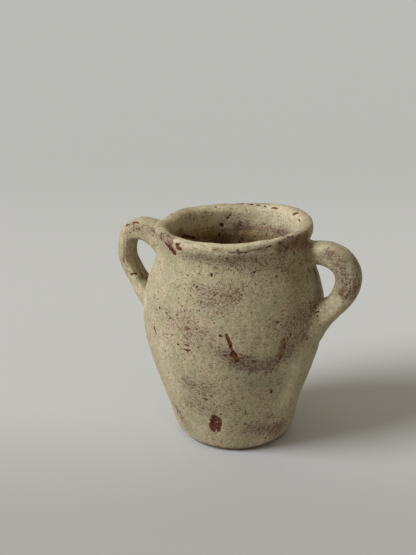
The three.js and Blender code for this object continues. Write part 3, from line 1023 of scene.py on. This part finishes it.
# Rubbed places: a thin veil, and many fine specks and strokes where the wash is off
# Where worn and grime marks stand for shade, this veil is painted shade too
wear = total(
    wash, (given["Worn"], 1.0), (given["Grime"], 0.5), (given["Thick"], -0.4), (clouds, 0.8),
    (blotches, 0.6), (1.0, -0.70),
)
veil = total(wash, (wear, 0.6), (mottle, 1.0), (grain, 0.7), (1.0, -0.85))
colour = tint(wash, ramp(wash, veil, 0.0, 0.8, 0.62), colour, worn_mauve)
speckle = total(wash, (strokes, 0.75), (dust, 0.9), (wear, 0.21), (given["Hollow"], 0.05))
colour = tint(wash, ramp(wash, speckle, 0.955, 1.055, 0.78), colour, speck_brown)
bend = put(wash, "TexNoise", {"Vector": place, "Scale": 1 / (5 * mm), "Detail": 3}).outputs["Color"]
bent = put(wash, "VectorMath", {0: bend, 1: [hair_bend] * 3, 2: place}, operation="MULTIPLY_ADD")
network = {"Vector": bent.outputs[0], "Scale": 1 / hair_cell}
seams = put(wash, "TexVoronoi", network, feature="DISTANCE_TO_EDGE").outputs["Distance"]
hairs = total(wash, (seams, -1.0), (strokes, 0.3), (blotches, 0.3), (wear, 0.06))
hairs = ramp(wash, hairs, 0.3, 0.36, 0.55)
colour = tint(wash, hairs, colour, speck_brown)

# Dirt and painted shade in the hollows, under the lip and on the shaded side, and rust stains
dirt = total(wash, (given["Grime"], 1.0), (strokes, 1.2), (blotches, 0.5))
colour = tint(wash, ramp(wash, dirt, 0.9, 2.2, 0.9), colour, grime_brown)
rusty = total(wash, (given["Stain"], 1.0), (mottle, 1.2), (grain, 1.8))
rust = tint(wash, ramp(wash, crumbs, 0.38, 0.55), stain_dark, stain_orange)
colour = tint(wash, ramp(wash, rusty, 1.75, 2.2, 0.9), colour, rust)

# Grains of lime and sand make every patch of the wash a little lighter or darker
brushed = noise(wash, place, 9 * mm, 3, (4.5, 4.5, 1))
grains = total(wash, (grain, 1.0), (dust, 1.1), (mottle, 0.3), (brushed, 0.6), (1.0, -0.495))
colour = put(wash, "VectorMath", {0: colour, "Scale": grains}, operation="SCALE").outputs[0]

# Scattered flakes and pinholes, each in its own cell, and thicker where the wash is rubbed
cells = put(wash, "TexVoronoi", {"Vector": place, "Scale": 1 / flake_cell})
cell_hue = put(wash, "SeparateColor", {"Color": cells.outputs["Color"]}).outputs["Red"]
cell_size = put(wash, "Math", {0: cell_hue, 1: 5.0}, operation="POWER").outputs[0]
flakes = total(wash, (cells.outputs["Distance"], -1.0), (cell_size, 0.13), (grain, 0.2), (wear, 0.04))
flakes = ramp(wash, flakes, 0.115, 0.135)
small_cells = put(wash, "TexVoronoi", {"Vector": place, "Scale": 1 / pinhole_cell})
small_hue = put(wash, "SeparateColor", {"Color": small_cells.outputs["Color"]}).outputs["Green"]
small_size = put(wash, "Math", {0: small_hue, 1: 6.0}, operation="POWER").outputs[0]
pinholes = total(
    wash, (small_cells.outputs["Distance"], -1.0), (small_size, 0.34), (dust, 0.3), (patches, 0.3),
    (wear, 0.20), (given["Hollow"], 0.22),
)
pinholes = ramp(wash, pinholes, 0.36, 0.42, 0.85)
colour = tint(wash, pinholes, colour, fleck_red)

# Scratches, chips down to the red clay, and dark pits
scratched = total(wash, (given["Scratch"], 1.0), (grain, 1.6))
scratched = ramp(wash, scratched, 0.6, 1.0, 0.5)
colour = tint(wash, scratched, colour, speck_brown)
red = tint(wash, ramp(wash, crumbs, 0.43, 0.59), chip_dark, chip_red)
chip_edge = total(wash, (given["Chip"], 1.0), (mottle, 2.6), (grain, 1.6))
chipped = ramp(wash, chip_edge, 1.95, 2.3)
colour = tint(wash, flakes, colour, red)
colour = tint(wash, chipped, colour, red)
pit_edge = total(wash, (given["Pit"], 1.0), (grain, 2.2), (dust, 1.4))
pitted = ramp(wash, pit_edge, 1.65, 2.1)
colour = tint(wash, pitted, colour, pit_black)

height = total(
    wash, (mottle, 0.5), (grain, 0.7), (dust, 0.5), (wiped, 0.35), (chipped, -0.7), (flakes, -0.6),
    (pitted, -0.8), (pinholes, -0.6), (scratched, -0.5),
)
rough = total(wash, (grain, 0.12), (mottle, 0.1), (chipped, -0.05), (1.0, 0.8))
result = wash.nodes.new("NodeGroupOutput").inputs
wash.links.new(colour, result["Colour"])
wash.links.new(rough, result["Roughness"])
wash.links.new(height, result["Height"])


def washed_clay(name):
    """A material of the shared finish, which reads the marks painted on its piece."""
    material = bpy.data.materials.new(name)
    material.use_nodes = True
    tree = material.node_tree
    finish = put(tree, "Group", node_tree=wash)
    for mark in finish.inputs:
        painted = put(tree, "Attribute", attribute_name=mark.name.lower())
        tree.links.new(painted.outputs["Fac"], mark)
    finish = finish.outputs
    bump = {"Strength": relief_strength, "Distance": relief_depth, "Height": finish["Height"]}
    relief = put(tree, "Bump", bump).outputs["Normal"]
    shader = tree.nodes["Principled BSDF"].inputs
    shader["Specular IOR Level"].default_value = clay_gloss
    tree.links.new(finish["Colour"], shader["Base Color"])
    tree.links.new(finish["Roughness"], shader["Roughness"])
    tree.links.new(relief, shader["Normal"])
    return material


# The handle roots
# Soft clay is pressed round each end of a strap and smeared into the wall. The clay is one skin by
# now, so each root is cut out of it as the patch that the potter's thumb worked over.
thumb_round = 8 * mm
thumb_steps = 6
smooth_angle = math.radians(50)
root_patches = {
    "right_upper": ((51.9, -16, 139), (65.4, 16, 164.5)),
    "right_lower": ((65, -17, 83), (75, 17, 124)),
    "left_upper": ((-65.9, -16, 138), (-52.5, 16, 169)),
    "left_lower": ((-76, -17, 79), (-65.3, 17, 114)),
}
root_paint = washed_clay("luting slip")


def block(low, high, rounding=0):
    """A box between two corners, with its edges along X rounded or not."""
    low = Vector(low)
    high = Vector(high)
    select_only()
    bpy.ops.mesh.primitive_cube_add(size=1, location=(low + high) / 2)
    box = bpy.context.object
    box.scale = high - low
    bpy.ops.object.transform_apply()
    if rounding:
        across = {corner.index: corner.co.x for corner in box.data.vertices}
        select_parts(box, "EDGE", lambda edge: np.ptp([across[end] for end in edge.vertices]) > mm)
        bpy.ops.mesh.bevel(offset=rounding, segments=thumb_steps)
        bpy.ops.object.mode_set(mode="OBJECT")
    return box


def cut_out(body, blade, name):
    """Cuts what lies inside the blade out of a body, as a piece of its own."""
    select_only(body)
    bpy.ops.object.duplicate()
    piece = bpy.context.object
    piece.name = name
    finish_with(piece, "BOOLEAN", object=blade, operation="INTERSECT", solver="MANIFOLD")
    finish_with(body, "BOOLEAN", object=blade, operation="DIFFERENCE", solver="MANIFOLD")
    bpy.data.objects.remove(blade)
    return piece


def coat(piece, material):
    """Paints the marks on a piece, gives it its material and smooths its shading."""
    paint(piece)
    piece.data.materials.clear()
    piece.data.materials.append(material)
    select_only(piece)
    bpy.ops.object.shade_smooth_by_angle(angle=smooth_angle)


clay.vertex_groups.clear()
for name, (low, high) in root_patches.items():
    patch = block(Vector(low) * mm, Vector(high) * mm, thumb_round)
    root = cut_out(clay, patch, name + "_root")
    coat(root, root_paint)
    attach(root, "root")
    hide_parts(name + "_luting")

# The handles
# Two pulled straps, of which only the free part is left between the roots. The potter's fingers
# carry the same wash over them as over the pot.
strap_paint = washed_clay("handle slip")

select_only(clay)
bpy.ops.object.mode_set(mode="EDIT")
bpy.ops.mesh.select_all(action="SELECT")
bpy.ops.mesh.separate(type="LOOSE")
bpy.ops.object.mode_set(mode="OBJECT")
loose = bpy.context.selected_objects
left_handle, shell, right_handle = sorted(loose, key=lambda piece: places_of(piece)[:, 0].mean())
for handle, side in ((left_handle, "left"), (right_handle, "right")):
    handle.name = side + "_strap"
    coat(handle, strap_paint)
    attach(handle, "root")
    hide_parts(side + "_handle")

# The base slab
# A disc of clay, pressed flat on the board, that the wall is built on. Its heel is rounded.
slab_top = 9.6 * mm
beyond = 120 * mm


def all_below(height):
    """A block that holds all of the pot below a height."""
    return block((-beyond, -beyond, -beyond), (beyond, beyond, height))


slab = cut_out(shell, all_below(slab_top), "base_slab_clay")
coat(slab, washed_clay("base clay"))
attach(slab, "root")
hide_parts("base_slab")

# The wall
# It is built in two stages. The lower one is left to stiffen before the shoulder goes on it, and the
# joint is scored, pressed together and wiped smooth below the belly.
stage_joint = 74 * mm
rim_joint = 148 * mm
wall_paint = washed_clay("wall slip")

for stage, top in (("lower", stage_joint), ("shoulder", rim_joint)):
    wall = cut_out(shell, all_below(top), stage + "_wall_clay")
    coat(wall, wall_paint)
    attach(wall, "root")
    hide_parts(stage + "_wall")

# The rim
# A coil laid on the neck and turned out between finger and thumb into a small round lip. It is what
# is left of the clay over the wall.
rim = shell
rim.name = "rim_coil_clay"
coat(rim, washed_clay("rim slip"))
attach(rim, "root")
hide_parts("rim_coil")

size = {"cad": [list(map(float, corner)) for corner in cad_box]}
size["visual"] = [list(map(float, corner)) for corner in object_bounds()]
